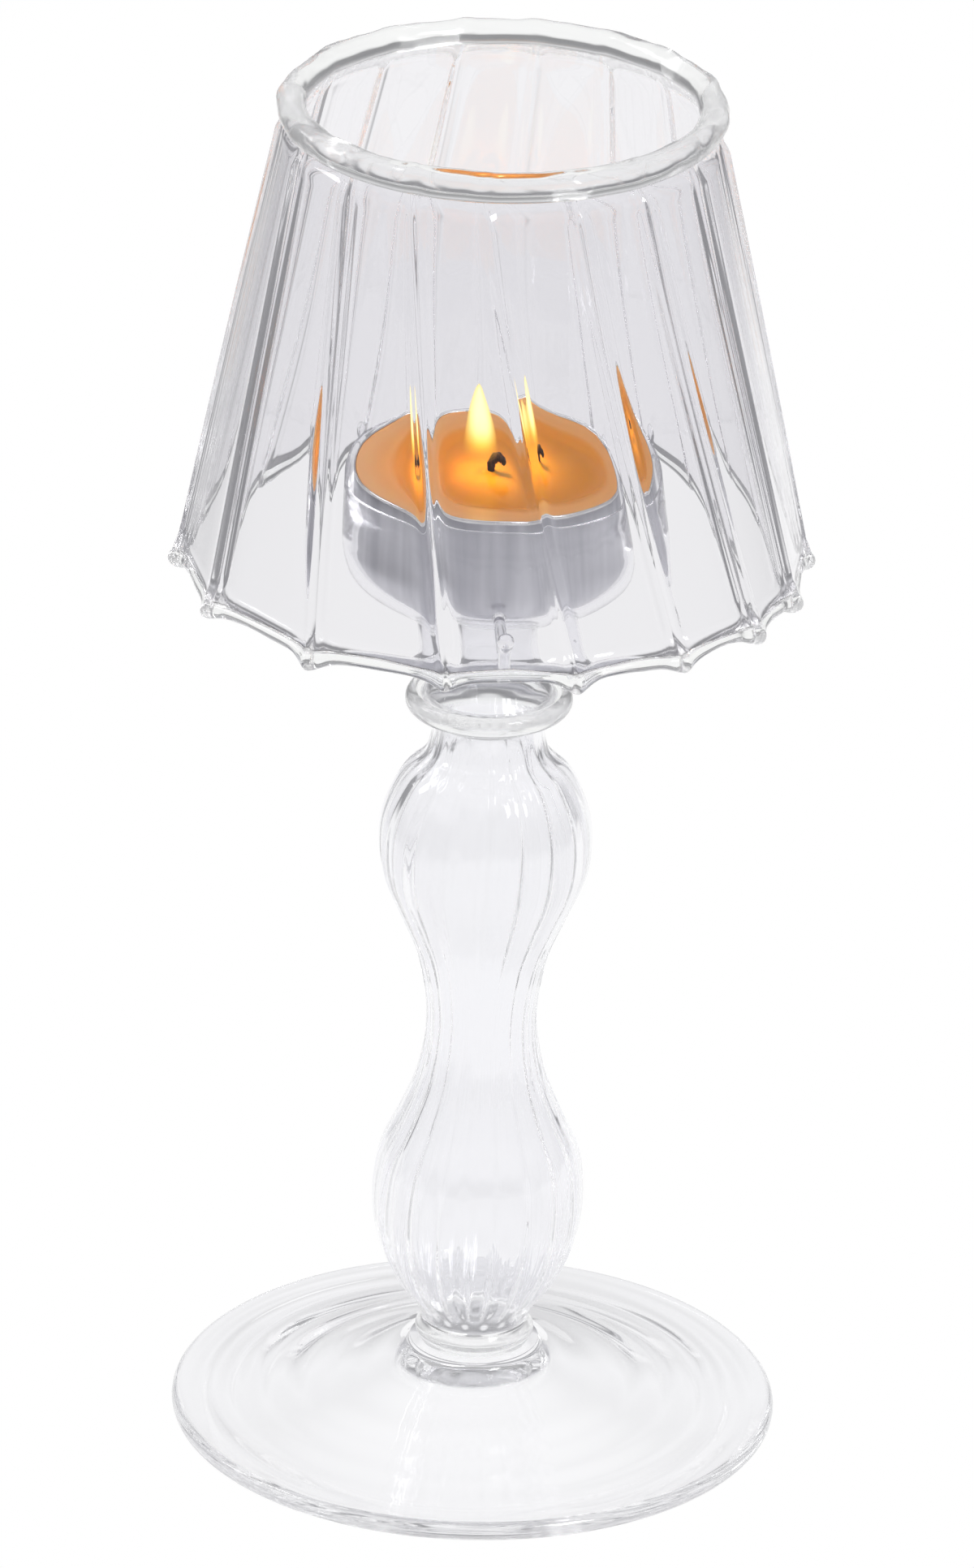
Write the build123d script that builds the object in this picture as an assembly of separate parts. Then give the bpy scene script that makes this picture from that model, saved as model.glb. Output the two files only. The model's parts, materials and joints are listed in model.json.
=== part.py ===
from build123d import *
import math
import os

# A clear blown-glass tealight holder shaped like a small table lamp: a round foot, a hollow
# stem with two bulbs, a collar, a short neck and a cup for the tealight. A ribbed conical
# shade hangs over the cup on three thin glass arms. Millimetres, +Z up. The origin is the
# centre of the foot's underside. -Y is the front.

# ---- foot
FOOT_RADIUS = 40.5
FOOT_EDGE = 2.6                    # thickness of the rounded edge
FOOT_REST_INNER = 33.0             # inner radius of the flat ring that it stands on
FOOT_TOP = 10.6                    # height where the foot meets its ring
FOOT_JOINT_RADIUS = 8.6
FOOT_HOLLOW = 6.6                  # how far the underside rises at the middle

# ---- stem, from the foot ring to the collar
RING_RADIUS = 8.0
STEM_BOTTOM = 13.8
STEM_TOP = 101.2
STEM_END_RADIUS = 7.2
STEM_WALL = 1.4
LOWER_BULB = (14.05, 31.0)         # radius and height of each swelling and waist
WAIST = (7.35, 58.6)
UPPER_BULB = (14.1, 84.0)

# ---- collar and neck
COLLAR_RADIUS = 11.05
COLLAR_LIP = 1.55                  # radius of the rounded lip's section
COLLAR_HEIGHT = 104.2              # height of the lip's middle
NECK_BOTTOM = 105.0
NECK_FLARE = 9.0
NECK_WAIST = (7.2, 110.6)
NECK_TOP_RADIUS = 9.4
NECK_WALL = 1.4

# ---- candle cup
CUP_RADIUS = 21.1
CUP_BOTTOM = 120.0
CUP_RIM = 136.8
CUP_WALL = 1.3
CUP_CORNER = 9.0                   # outer radius of the rounded corner under the wall
CUP_PLUG_DEPTH = 3.6               # the drop of solid glass under the floor, inside the neck
CUP_PLUG_RADIUS = 6.6

# ---- tealight
CAN_RADIUS = 18.5                  # under the rim; the can is a little narrower at its foot
CAN_FOOT_RADIUS = 18.2
CAN_RIM_RADIUS = 19.0
CAN_BOTTOM = 121.7
CAN_TOP = 137.5
CAN_WALL = 0.4
CAN_CORNER = 4.7
WAX_TOP = 137.1                    # the unmelted ring beside the can's wall
POOL_DEPTH = 0.8
POOL_RADIUS = 12.7
WICK_RADIUS = 0.6
WICK_BEND = 137.0                  # height where the wick starts to curl over
WICK_CURL = 1.3                    # radius of the curl
TAB_RADIUS = 6.5                   # the metal disc that holds the wick upright
TAB_THICKNESS = 0.4
TAB_SLEEVE_RADIUS = 1.0
TAB_SLEEVE_HEIGHT = 3.0

# ---- shade
RIBS = 16
SHADE_BOTTOM = 124.5               # height of the lower rim's middle
SHADE_BOTTOM_RADIUS = 41.2         # to the wall's outside, at a rib
SHADE_TOP = 187.4                  # height of the upper ring's middle
SHADE_TOP_RADIUS = 28.2
SHADE_TWIST = -12.0                # degrees that a rib turns from the bottom to the top
SHADE_WALL = 1.2
TOP_RING_RADIUS = 27.4
TOP_RING_SECTION = 1.75
RIM_SECTION = 0.85                 # radius of the thin rod round the lower edge
BEAD_RADIUS = 1.35                 # the drop of glass at each rib's lower end

# ---- arms that carry the shade
ARM_RADIUS = 0.8
ARM_TIP_RADIUS = 1.1
ARM_ANGLES = {"shade_arm_front": -87.0, "shade_arm_right": 60.0, "shade_arm_left": 120.0}
ARM_ROOT_RADIUS = 19.1             # where an arm starts, inside the cup's rounded corner
ARM_ROOT_HEIGHT = 124.2
ARM_TIP_HEIGHT = 128.6
ARM_RISE_LENGTH = 5.0              # the length over which an arm climbs to its tip
ARM_BEND = 4.0
ARM_CLEARANCE = 0.15               # between an arm's tip and the resting shade


def lathe(*edges):
    """Turns an outline, drawn as radius and height, into a solid of revolution."""
    return revolve(Plane.XZ * make_face(edges), Axis.Z)


def lathe_outline(*points):
    """The same for an outline of straight lines."""
    return lathe(*Polyline(*points, close=True).edges())


def inside(points, wall):
    """The inner outline of a blown wall: the same heights, one wall nearer the axis."""
    return [(radius - wall, height) for radius, height in points]


def blown_tube(points, wall):
    """A tube open at both ends, upright there, whose outline runs smoothly through the points."""
    slopes = [(0, 1), (0, 1)]
    outer = Spline(*points, tangents=slopes)
    inner = Spline(*inside(points, wall), tangents=slopes)
    top = Line(outer @ 1, inner @ 1)
    bottom = Line(outer @ 0, inner @ 0)
    return lathe(outer, top, inner, bottom)


# ------------------------------------------------------------------ foot and stem
def make_foot():
    """A low cone with a rounded edge. Its underside is hollow, so it stands on a flat ring."""
    edge_centre = FOOT_RADIUS - FOOT_EDGE / 2
    edge = ThreePointArc((edge_centre, 0), (FOOT_RADIUS, FOOT_EDGE / 2), (edge_centre, FOOT_EDGE))
    slope = Spline(edge @ 1, (24.0, 4.9), (13.0, 7.6), (FOOT_JOINT_RADIUS, FOOT_TOP))
    top = Line(slope @ 1, (0, FOOT_TOP))
    middle = Line(top @ 1, (0, FOOT_HOLLOW))
    hollow = Spline(middle @ 1, (18.0, 3.4), (FOOT_REST_INNER, 0), tangents=[(1, 0), (1, -0.1)])
    rest = Line(hollow @ 1, edge @ 0)
    return lathe(edge, slope, top, middle, hollow, rest)


def make_foot_ring():
    """The rounded wafer of glass that joins the stem to the foot."""
    middle = (FOOT_TOP + STEM_BOTTOM) / 2
    bulge = ThreePointArc(
        (STEM_END_RADIUS, FOOT_TOP), (RING_RADIUS, middle), (STEM_END_RADIUS, STEM_BOTTOM)
    )
    top = Line(bulge @ 1, (0, STEM_BOTTOM))
    axis = Line(top @ 1, (0, FOOT_TOP))
    bottom = Line(axis @ 1, bulge @ 0)
    return lathe(bulge, top, axis, bottom)


def make_stem():
    """The hollow stem: two pear-shaped bulbs with a waist between them."""
    outline = [
        (STEM_END_RADIUS, STEM_BOTTOM),
        (10.6, 19.8),
        LOWER_BULB,
        (10.8, 44.0),
        WAIST,
        (10.9, 73.0),
        UPPER_BULB,
        (10.2, 93.4),
        (STEM_END_RADIUS, STEM_TOP),
    ]
    return blown_tube(outline, STEM_WALL)


# ------------------------------------------------------------------ collar, neck and cup
def make_collar():
    """The ring round the top of the stem. Its rounded lip stands up round the neck's foot."""
    lip_centre = COLLAR_RADIUS - COLLAR_LIP
    lip_top = COLLAR_HEIGHT + COLLAR_LIP
    lip = ThreePointArc(
        (lip_centre, COLLAR_HEIGHT - COLLAR_LIP), (COLLAR_RADIUS, COLLAR_HEIGHT), (lip_centre, lip_top)
    )
    inner_lip = Line(lip @ 1, (NECK_FLARE, NECK_BOTTOM))
    seat = Line(inner_lip @ 1, (NECK_FLARE - NECK_WALL, NECK_BOTTOM))
    bore = Line(seat @ 1, (STEM_END_RADIUS - STEM_WALL, STEM_TOP))
    bottom = Line(bore @ 1, (STEM_END_RADIUS, STEM_TOP))
    underside = Line(bottom @ 1, lip @ 0)
    return lathe(lip, inner_lip, seat, bore, bottom, underside)


def make_cup_neck():
    """The short waisted tube between the collar and the cup."""
    inner_top = CUP_PLUG_RADIUS
    outer = Spline((NECK_FLARE, NECK_BOTTOM), NECK_WAIST, (NECK_TOP_RADIUS, CUP_BOTTOM))
    inner_waist = (NECK_WAIST[0] - NECK_WALL, NECK_WAIST[1])
    inner = Spline((NECK_FLARE - NECK_WALL, NECK_BOTTOM), inner_waist, (inner_top, CUP_BOTTOM))
    top = Line(outer @ 1, inner @ 1)
    bottom = Line(outer @ 0, inner @ 0)
    return lathe(outer, top, inner, bottom)


def make_candle_cup():
    """The straight-sided cup with a big rounded corner, and a drop of glass under its floor."""
    inner_radius = CUP_RADIUS - CUP_WALL
    floor = CUP_BOTTOM + CUP_WALL
    corner_radius = CUP_RADIUS - CUP_CORNER
    corner_height = CUP_BOTTOM + CUP_CORNER
    rim_base = CUP_RIM - CUP_WALL / 2
    inner_bend = (CUP_CORNER - CUP_WALL) * math.sqrt(0.5)
    outer_bend = CUP_CORNER * math.sqrt(0.5)
    rim = ThreePointArc(
        (CUP_RADIUS, rim_base), (CUP_RADIUS - CUP_WALL / 2, CUP_RIM), (inner_radius, rim_base)
    )
    inner_wall = Line(rim @ 1, (inner_radius, corner_height))
    inner_corner = ThreePointArc(
        inner_wall @ 1,
        (corner_radius + inner_bend, corner_height - inner_bend),
        (corner_radius, floor),
    )
    floor_line = Line(inner_corner @ 1, (0, floor))
    axis = Line(floor_line @ 1, (0, CUP_BOTTOM - CUP_PLUG_DEPTH))
    plug = ThreePointArc(
        axis @ 1,
        (CUP_PLUG_RADIUS * 0.6, CUP_BOTTOM - CUP_PLUG_DEPTH * 0.72),
        (CUP_PLUG_RADIUS, CUP_BOTTOM),
    )
    underside = Line(plug @ 1, (corner_radius, CUP_BOTTOM))
    outer_corner = ThreePointArc(
        underside @ 1,
        (corner_radius + outer_bend, corner_height - outer_bend),
        (CUP_RADIUS, corner_height),
    )
    outer_wall = Line(outer_corner @ 1, rim @ 0)
    return lathe(rim, inner_wall, inner_corner, floor_line, axis, plug, underside, outer_corner, outer_wall)


# ------------------------------------------------------------------ tealight
def can_solid(inset):
    """The tealight's outer shape, drawn in by a wall on all sides and open at the top."""
    bottom = CAN_BOTTOM + inset
    shape = lathe_outline(
        (0, bottom),
        (CAN_FOOT_RADIUS - inset, bottom),
        (CAN_RADIUS - inset, CAN_TOP),
        (0, CAN_TOP),
    )
    return fillet(shape.edges().sort_by(Axis.Z)[0], CAN_CORNER - inset)


def make_tealight_can():
    """The thin aluminium cup of the tealight, with a rolled edge."""
    roll_radius = (CAN_RIM_RADIUS - CAN_RADIUS + CAN_WALL) / 2
    roll = Pos(0, 0, CAN_TOP - roll_radius) * Torus(CAN_RIM_RADIUS - roll_radius, roll_radius)
    return can_solid(0) - can_solid(CAN_WALL) + roll


def make_sustainer():
    """The metal tab on the can's floor, with a sleeve that holds the wick."""
    floor = CAN_BOTTOM + CAN_WALL
    disc = Pos(0, 0, floor) * extrude(Circle(TAB_RADIUS), TAB_THICKNESS)
    sleeve = Pos(0, 0, floor) * extrude(Circle(TAB_SLEEVE_RADIUS), TAB_SLEEVE_HEIGHT)
    bore = Pos(0, 0, floor) * extrude(Circle(WICK_RADIUS), TAB_SLEEVE_HEIGHT)
    return disc + sleeve - bore


def make_wick():
    """A cotton wick that stands in its sleeve and curls over to the right at its burnt end."""
    foot = (0, 0, CAN_BOTTOM + CAN_WALL)
    bend = (0, 0, WICK_BEND)
    straight = Line(foot, bend)
    curl = ThreePointArc(
        bend,
        (WICK_CURL * (1 - math.sqrt(0.5)), 0, WICK_BEND + WICK_CURL * math.sqrt(0.5)),
        (WICK_CURL, 0, WICK_BEND + WICK_CURL),
    )
    return sweep(Plane(foot) * Circle(WICK_RADIUS), path=Curve([straight, curl]))


def make_wax(can, sustainer, wick):
    """The wax: it fills the can up to a shallow melted pool, round the wick and its sleeve."""
    pool = lathe_outline(
        (0, WAX_TOP - POOL_DEPTH),
        (POOL_RADIUS - POOL_DEPTH, WAX_TOP - POOL_DEPTH),
        (POOL_RADIUS, WAX_TOP),
        (CAN_RIM_RADIUS, WAX_TOP),
        (CAN_RIM_RADIUS, CAN_TOP),
        (0, CAN_TOP),
    )
    return can_solid(CAN_WALL) - pool - can - sustainer - wick


# ------------------------------------------------------------------ shade
def shade_corner(rib, height, inset=0.0):
    """Where a rib runs at a height: ribs are straight from the lower rim to the upper ring."""
    share = (height - SHADE_BOTTOM) / (SHADE_TOP - SHADE_BOTTOM)
    radius = SHADE_BOTTOM_RADIUS + share * (SHADE_TOP_RADIUS - SHADE_BOTTOM_RADIUS) - inset
    angle = math.radians(360 / RIBS * rib + SHADE_TWIST * share)
    return Vector(radius * math.cos(angle), radius * math.sin(angle), height)


def shade_cone(low, high, inset):
    """The solid whose sides are the flat panels between the ribs, from one height to another."""
    rings = []
    for height in (low, high):
        corners = [shade_corner(rib, height, inset) for rib in range(RIBS)]
        rings.append(Face(Wire.make_polygon(corners, close=True)))
    return loft(rings, ruled=True)


def make_shade_wall():
    """The blown wall: flat panels between the ribs, open at both ends."""
    overshoot = 1.0
    outside = shade_cone(SHADE_BOTTOM, SHADE_TOP, 0)
    hollow = shade_cone(SHADE_BOTTOM - overshoot, SHADE_TOP + overshoot, SHADE_WALL)
    return outside - hollow


def make_top_ring(wall):
    """The thick rolled ring round the upper opening."""
    return Pos(0, 0, SHADE_TOP) * Torus(TOP_RING_RADIUS, TOP_RING_SECTION) - wall


def make_bottom_rim(wall):
    """The thin rod of glass that runs along the lower edge, from rib to rib."""
    corners = [shade_corner(rib, SHADE_BOTTOM, SHADE_WALL / 2) for rib in range(RIBS)]
    rods = []
    for start, end in zip(corners, corners[1:] + corners[:1]):
        run = Line(start, end)
        rods.append(sweep(Plane(origin=start, z_dir=run % 0) * Circle(RIM_SECTION), path=run))
        rods.append(Pos(*start) * Sphere(RIM_SECTION))
    return rods[0].fuse(*rods[1:]) - wall


def make_bead(wall, rim):
    """The drop of glass at the first rib's lower end, shaped to the wall and rim it is fused to."""
    centre = shade_corner(0, SHADE_BOTTOM)
    return Pos(*centre) * Sphere(BEAD_RADIUS) - wall - rim


# ------------------------------------------------------------------ arms
def arm_tip_radius(angle):
    """How far out an arm's tip reaches, so that every panel of the shade is just clear of it."""
    lean = math.atan((SHADE_BOTTOM_RADIUS - SHADE_TOP_RADIUS) / (SHADE_TOP - SHADE_BOTTOM))
    gap = (ARM_TIP_RADIUS + ARM_CLEARANCE) / math.cos(lean)
    outward = Vector(math.cos(math.radians(angle)), math.sin(math.radians(angle)), 0)
    reaches = []
    for rib in range(RIBS):
        start = shade_corner(rib, ARM_TIP_HEIGHT, SHADE_WALL)
        across = (shade_corner(rib + 1, ARM_TIP_HEIGHT, SHADE_WALL) - start).normalized()
        normal = Vector(across.Y, -across.X, 0)
        facing = outward.dot(normal)
        if facing > 0:
            reaches.append((start.dot(normal) - gap) / facing)
    return min(reaches)


def make_arm(angle, cup):
    """A thin rod from the cup's rounded corner up to a round tip inside the shade."""
    reach = arm_tip_radius(angle)
    root = (ARM_ROOT_RADIUS, 0, ARM_ROOT_HEIGHT)
    knee = (reach - ARM_RISE_LENGTH, 0, ARM_ROOT_HEIGHT)
    tip = (reach, 0, ARM_TIP_HEIGHT)
    path = FilletPolyline(root, knee, tip, radius=ARM_BEND)
    rod = sweep(Plane(origin=root, z_dir=(1, 0, 0)) * Circle(ARM_RADIUS), path=path)
    arm = rod + Pos(*tip) * Sphere(ARM_TIP_RADIUS)
    return Rot(0, 0, angle) * arm - cup


# ------------------------------------------------------------------ assembly
def make_parts():
    """Every piece of the object, by name."""
    parts = {
        "foot": make_foot(),
        "foot_ring": make_foot_ring(),
        "stem": make_stem(),
        "collar": make_collar(),
        "cup_neck": make_cup_neck(),
        "candle_cup": make_candle_cup(),
        "tealight_can": make_tealight_can(),
        "wick_sustainer": make_sustainer(),
        "wick": make_wick(),
    }
    parts["wax"] = make_wax(parts["tealight_can"], parts["wick_sustainer"], parts["wick"])
    for name, angle in ARM_ANGLES.items():
        parts[name] = make_arm(angle, parts["candle_cup"])
    wall = make_shade_wall()
    rim = make_bottom_rim(wall)
    parts["shade_wall"] = wall
    parts["shade_top_ring"] = make_top_ring(wall)
    parts["shade_bottom_rim"] = rim
    bead = make_bead(wall, rim)
    for rib in range(RIBS):
        parts[f"shade_bead_{rib + 1:02d}"] = Rot(0, 0, 360 / RIBS * rib) * bead
    return parts


os.makedirs("parts", exist_ok=True)
for node, shape in make_parts().items():
    export_step(shape, f"parts/{node}.step")
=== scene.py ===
import json
import math

import bpy
from mathutils import Euler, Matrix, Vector, noise

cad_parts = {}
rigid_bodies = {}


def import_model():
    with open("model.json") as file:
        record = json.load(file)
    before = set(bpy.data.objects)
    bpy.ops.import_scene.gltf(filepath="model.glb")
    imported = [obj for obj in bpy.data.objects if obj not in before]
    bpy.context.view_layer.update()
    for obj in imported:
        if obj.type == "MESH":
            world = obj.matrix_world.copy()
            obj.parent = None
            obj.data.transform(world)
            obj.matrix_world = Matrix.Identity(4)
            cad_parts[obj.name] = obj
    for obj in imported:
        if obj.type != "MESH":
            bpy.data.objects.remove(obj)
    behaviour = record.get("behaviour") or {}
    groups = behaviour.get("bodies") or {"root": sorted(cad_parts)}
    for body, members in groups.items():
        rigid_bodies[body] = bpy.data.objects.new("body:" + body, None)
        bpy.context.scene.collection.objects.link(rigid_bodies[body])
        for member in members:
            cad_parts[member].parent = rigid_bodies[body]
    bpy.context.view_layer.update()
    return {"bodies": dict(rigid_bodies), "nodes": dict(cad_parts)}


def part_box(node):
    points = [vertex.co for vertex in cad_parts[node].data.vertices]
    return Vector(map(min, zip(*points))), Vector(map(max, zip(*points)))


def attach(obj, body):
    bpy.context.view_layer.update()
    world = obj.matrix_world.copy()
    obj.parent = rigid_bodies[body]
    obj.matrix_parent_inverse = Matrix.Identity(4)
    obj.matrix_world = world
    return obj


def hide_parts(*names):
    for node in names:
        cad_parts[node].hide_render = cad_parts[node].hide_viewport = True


# The looks of a clear glass tealight holder shaped like a small table lamp. Lengths in this
# script are millimetres until a mesh is made, but the camera and the soft boxes are placed in
# metres. Heights and outer radii come from the CAD nodes. -Y is the front, and angles turn
# anticlockwise from +X, seen from above.

MM = 0.001

# ---- camera
CAMERA_PLACE = (0.0, -1.6, 0.8104)
CAMERA_DOWN = 24.189               # degrees below level
CAMERA_ROLL = 1.362
CAMERA_LENS = 203.55
CAMERA_SENSOR = 24.0

# ---- floor, whose glow is painted light
FLOOR_REACH = 3000                 # where the shares of the floor's ramp end
FLOOR_SHIFT = 70                   # how far to the right its white part lies
FLOOR_NARROW = 2.8                 # how much narrower that part is than it is deep

# ---- glass
GLASS_IOR = 1.47
# The lampshade's glass is tinted greyer than the base's: partly the glass's own faint tint, partly
# painted shade for the greyer backdrop seen through it.
SHADE_TINT_WITH_PAINTED_SHADE = (0.89, 0.885, 0.905)
BASE_TINT = (0.955, 0.955, 0.97)
RING_TINT = (0.95, 0.955, 0.95)

# ---- base
FOOT_EDGE = 1.3                    # radius of the foot's rounded edge
FOOT_REST = 33.0                   # where the foot starts to stand on the table
FOOT_RIPPLE_START = 14             # the ripples lie between these two radii
FOOT_RIPPLE_END = 38.6
STEM_WALL = 1.4
STEM_END_RADIUS = 7.2
STEM_BULB_RADIUS = 14.0
STEM_LOBES = 18
STEM_LOBE_OUTER = 0.10             # how far a lobe stands out, outside and inside
STEM_LOBE_INNER = 0.18
STEM_TWIST = 22.0                  # degrees that the lobes turn from the foot to the collar
COLLAR_LIP = 1.55                  # radius of the collar's rolled lip
NECK_WALL = 1.4
NECK_FOOT_RADIUS = 9.0
NECK_TOP_RADIUS = 9.4
CUP_WALL = 1.3
CUP_CORNER = 9.0                   # outer radius of the rounded corner under the cup's wall
CUP_LIP = 0.2                      # radius of the cup's rounded lip
PLUG_RADIUS = 6.6                  # the drop of glass under the cup's floor
PLUG_DEPTH = 3.6
ARM_ROOT = 19.3                    # how far out each arm starts, inside the cup's corner
ARM_RADIUS = 0.8
ARM_TIP_RADIUS = 1.1
ARM_ANGLES = {
    "shade_arm_front": -87,
    "shade_arm_right": 60,
    "shade_arm_left": 120,
}

# ---- metal
METAL_GLOSS_SPREAD = 0.06          # how much the roughness varies both ways

# ---- shade
SHADE_WALL = 1.1
SHADE_LOW_RADIUS = 41.2
SHADE_HIGH_RADIUS = 28.2
SHADE_RIM_HEIGHT = 124.5
WALL_ROWS = 44
TOP_RING_HEIGHT = 187.4            # where the wall runs into the upper ring
TOP_RING_CENTRE = 27.4
TOP_SECTION = 1.75                 # radius of the rolled ring's section
TOP_START, TOP_END = -62, 242      # the part of that section, in degrees, that is free of the wall
TOP_STEPS = 26
RIM_SECTION = 0.85
RIM_START, RIM_END = 128, 412      # the same for the lower rod
RIM_STEPS = 16
SMOOTH_ALL = 85                    # an angle that leaves every edge of the shade smooth
# Degrees of each rib at the lower edge, and how far it turns back by the upper ring. The ribs
# were pulled by hand, so they are not quite even.
RIBS = [
    (3.0, 9.0), (25.5, 7.5), (47.0, 5.0), (70.0, 9.0),
    (93.0, 12.0), (116.0, 15.0), (140.0, 18.0), (161.0, 16.5),
    (182.0, 8.0), (207.0, 4.0), (235.5, 9.5), (262.0, 16.0),
    (286.0, 20.0), (307.5, 18.0), (327.0, 17.5), (343.5, 11.0),
]
PANEL_FLATNESS = 0.8               # 0 is a round shade, 1 has flat panels
RIB_OUTER = 0.45                   # how proud a rib stands outside and inside
RIB_INNER = 0.65
RIB_WIDTH = 0.75                   # the rib's half width
RIB_SHOULDER = 0.35                # the wall's slower swelling towards a rib
SHOULDER_WIDTH = 2.3
PANEL_LENS = 0.15                  # how much thicker the wall is at a rib than between ribs

# ---- tealight
CAN_FOOT_RADIUS = 18.6
CAN_CORNER = 5.4
CAN_WALL = 0.25
CAN_ROLL = 0.17                    # radius of the can's rolled edge
WAX_INSET = 0.35                   # how much smaller the wax is than the can's lower part
WAX_SURFACE_RUN = 3                # which of the wax's runs is its upper surface
WAX_REACH = 20.0                   # where the shares of the wax's ramps end
POOL_RADIUS = 12.7
POOL_SHIFT = 1.6                   # how far the melted pool lies off centre, to the right
WICK_RADIUS = 0.7
WICK_CURL = 1.6                    # radius of the bend at the wick's end

# ---- flame
FLAME_CENTRE = -1.6                # the flame stands a little to the left of the wick
FLAME_FOOT = 138.4
FLAME_TIP = 149.0
FLAME_SHELLS = 7
FLAME_SOLID = 0.42                 # how solid one shell is
# The outer shell's radius at each share of the flame's height
FLAME_PROFILE = [
    (0.0, 0.0), (0.04, 2.4), (0.15, 2.9), (0.33, 2.7),
    (0.60, 2.0), (0.84, 1.05), (0.95, 0.5), (1.0, 0.0),
]


# ------------------------------------------------------------------ measures from the CAD
def bottom_of(node):
    """A node's lowest height."""
    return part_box(node)[0].z / MM


def top_of(node):
    """A node's highest height."""
    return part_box(node)[1].z / MM


def radius_of(node):
    """The outer radius of a round node."""
    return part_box(node)[1].x / MM


# ------------------------------------------------------------------ outlines
def arc(centre, radius, start, end, steps=10):
    """Points on a circle from one angle to another, in degrees."""
    points = []
    for step in range(steps + 1):
        angle = math.radians(start + (end - start) * step / steps)
        points.append((centre[0] + radius * math.cos(angle), centre[1] + radius * math.sin(angle)))
    return points


def smooth(points, steps=12):
    """A curve that runs through all the points."""
    padded = [points[0]] + list(points) + [points[-1]]
    curve = []
    for index in range(1, len(padded) - 2):
        before, start, end, after = [Vector(point) for point in padded[index - 1:index + 3]]
        for step in range(steps):
            t = step / steps
            place = 0.5 * (
                2 * start
                + (end - before) * t
                + (2 * before - 5 * start + 4 * end - after) * t ** 2
                + (3 * start - before - 3 * end + after) * t ** 3
            )
            curve.append(tuple(place))
    curve.append(tuple(points[-1]))
    return curve


def line(start, end, steps=1):
    """Points along a straight run."""
    return [
        tuple(Vector(start).lerp(Vector(end), step / steps))
        for step in range(steps + 1)
    ]


def bump(distance, width):
    """A smooth bump that is 1 in the middle and fades over its width."""
    return math.exp(-((distance / width) ** 2))


def ease(value):
    """0 to 1 with a soft start and end."""
    value = min(max(value, 0.0), 1.0)
    return value * value * (3 - 2 * value)


# ------------------------------------------------------------------ meshes
def mesh_object(name, vertices, faces, face_materials, materials, sharp=40):
    """An object from vertices in millimetres, smooth except where faces meet at a sharp angle."""
    mesh = bpy.data.meshes.new(name)
    mesh.from_pydata([Vector(vertex) * MM for vertex in vertices], [], faces)
    for material in materials:
        mesh.materials.append(material)
    for polygon, index in zip(mesh.polygons, face_materials):
        polygon.material_index = index
        polygon.use_smooth = True
    mesh.set_sharp_from_angle(angle=math.radians(sharp))
    mesh.update()
    piece = bpy.data.objects.new(name, mesh)
    bpy.context.scene.collection.objects.link(piece)
    return piece


def ring_mesh(name, rings, ring_materials, materials, closed, sharp=40):
    """Joins rings of points into one skin. A ring of one point closes the skin on the axis.

    ring_materials gives the material between each ring and the next."""
    vertices = []
    starts = []
    for ring in rings:
        starts.append(len(vertices))
        vertices.extend(ring)
    faces = []
    face_materials = []
    count = len(rings)
    for index in range(count if closed else count - 1):
        here, there = rings[index], rings[(index + 1) % count]
        a, b = starts[index], starts[(index + 1) % count]
        across = max(len(here), len(there))
        for step in range(across):
            following = (step + 1) % across
            if len(here) == 1:
                face = (a, b + following, b + step)
            elif len(there) == 1:
                face = (a + step, a + following, b)
            else:
                face = (a + step, a + following, b + following, b + step)
            faces.append(face)
            face_materials.append(ring_materials[index])
    return mesh_object(name, vertices, faces, face_materials, materials, sharp)


def lathe(name, runs, materials, closed=False, segments=160, shape=None, sharp=40):
    """A turned piece. runs holds (points, material index); each run starts where the last ended.

    shape(radius, height, angle, run) gives the radius and height that a point moves to."""
    outline = []
    ring_materials = []
    for number, (points, material) in enumerate(runs):
        for point in points[:-1]:
            outline.append((point, number))
            ring_materials.append(material)
    if not closed:
        outline.append((runs[-1][0][-1], len(runs) - 1))
    rings = []
    for (radius, height), number in outline:
        if radius < 1e-6:
            rings.append([(0, 0, height)])
            continue
        ring = []
        for step in range(segments):
            angle = math.tau * step / segments
            moved = (radius, height) if shape is None else shape(radius, height, angle, number)
            ring.append((moved[0] * math.cos(angle), moved[0] * math.sin(angle), moved[1]))
        rings.append(ring)
    return ring_mesh(name, rings, ring_materials, materials, closed, sharp)


def rod(name, path, radii, material, around=16):
    """A round rod along a path of points, closed to a point at both ends."""
    rings = [[tuple(path[0])]]
    side = None
    for index, place in enumerate(path):
        ahead = Vector(path[min(index + 1, len(path) - 1)])
        behind = Vector(path[max(index - 1, 0)])
        along = (ahead - behind).normalized()
        if side is None:
            side = along.orthogonal().normalized()
        side = (side - along * side.dot(along)).normalized()
        other = along.cross(side)
        ring = []
        for step in range(around):
            angle = math.tau * step / around
            offset = (side * math.cos(angle) + other * math.sin(angle)) * radii[index]
            ring.append(tuple(Vector(place) + offset))
        rings.append(ring)
    rings.append([tuple(path[-1])])
    return ring_mesh(name, rings, [0] * len(rings), [material], closed=False)


def finish_piece(piece, body, slot, *nodes):
    """Puts a piece on its body, in place of its CAD nodes."""
    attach(piece, body)
    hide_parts(*nodes)


# ------------------------------------------------------------------ materials
def new_material(name):
    """An empty node material, with its nodes, links and output."""
    material = bpy.data.materials.new(name)
    material.use_nodes = True
    nodes = material.node_tree.nodes
    nodes.clear()
    output = nodes.new("ShaderNodeOutputMaterial")
    return material, nodes, material.node_tree.links, output


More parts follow.
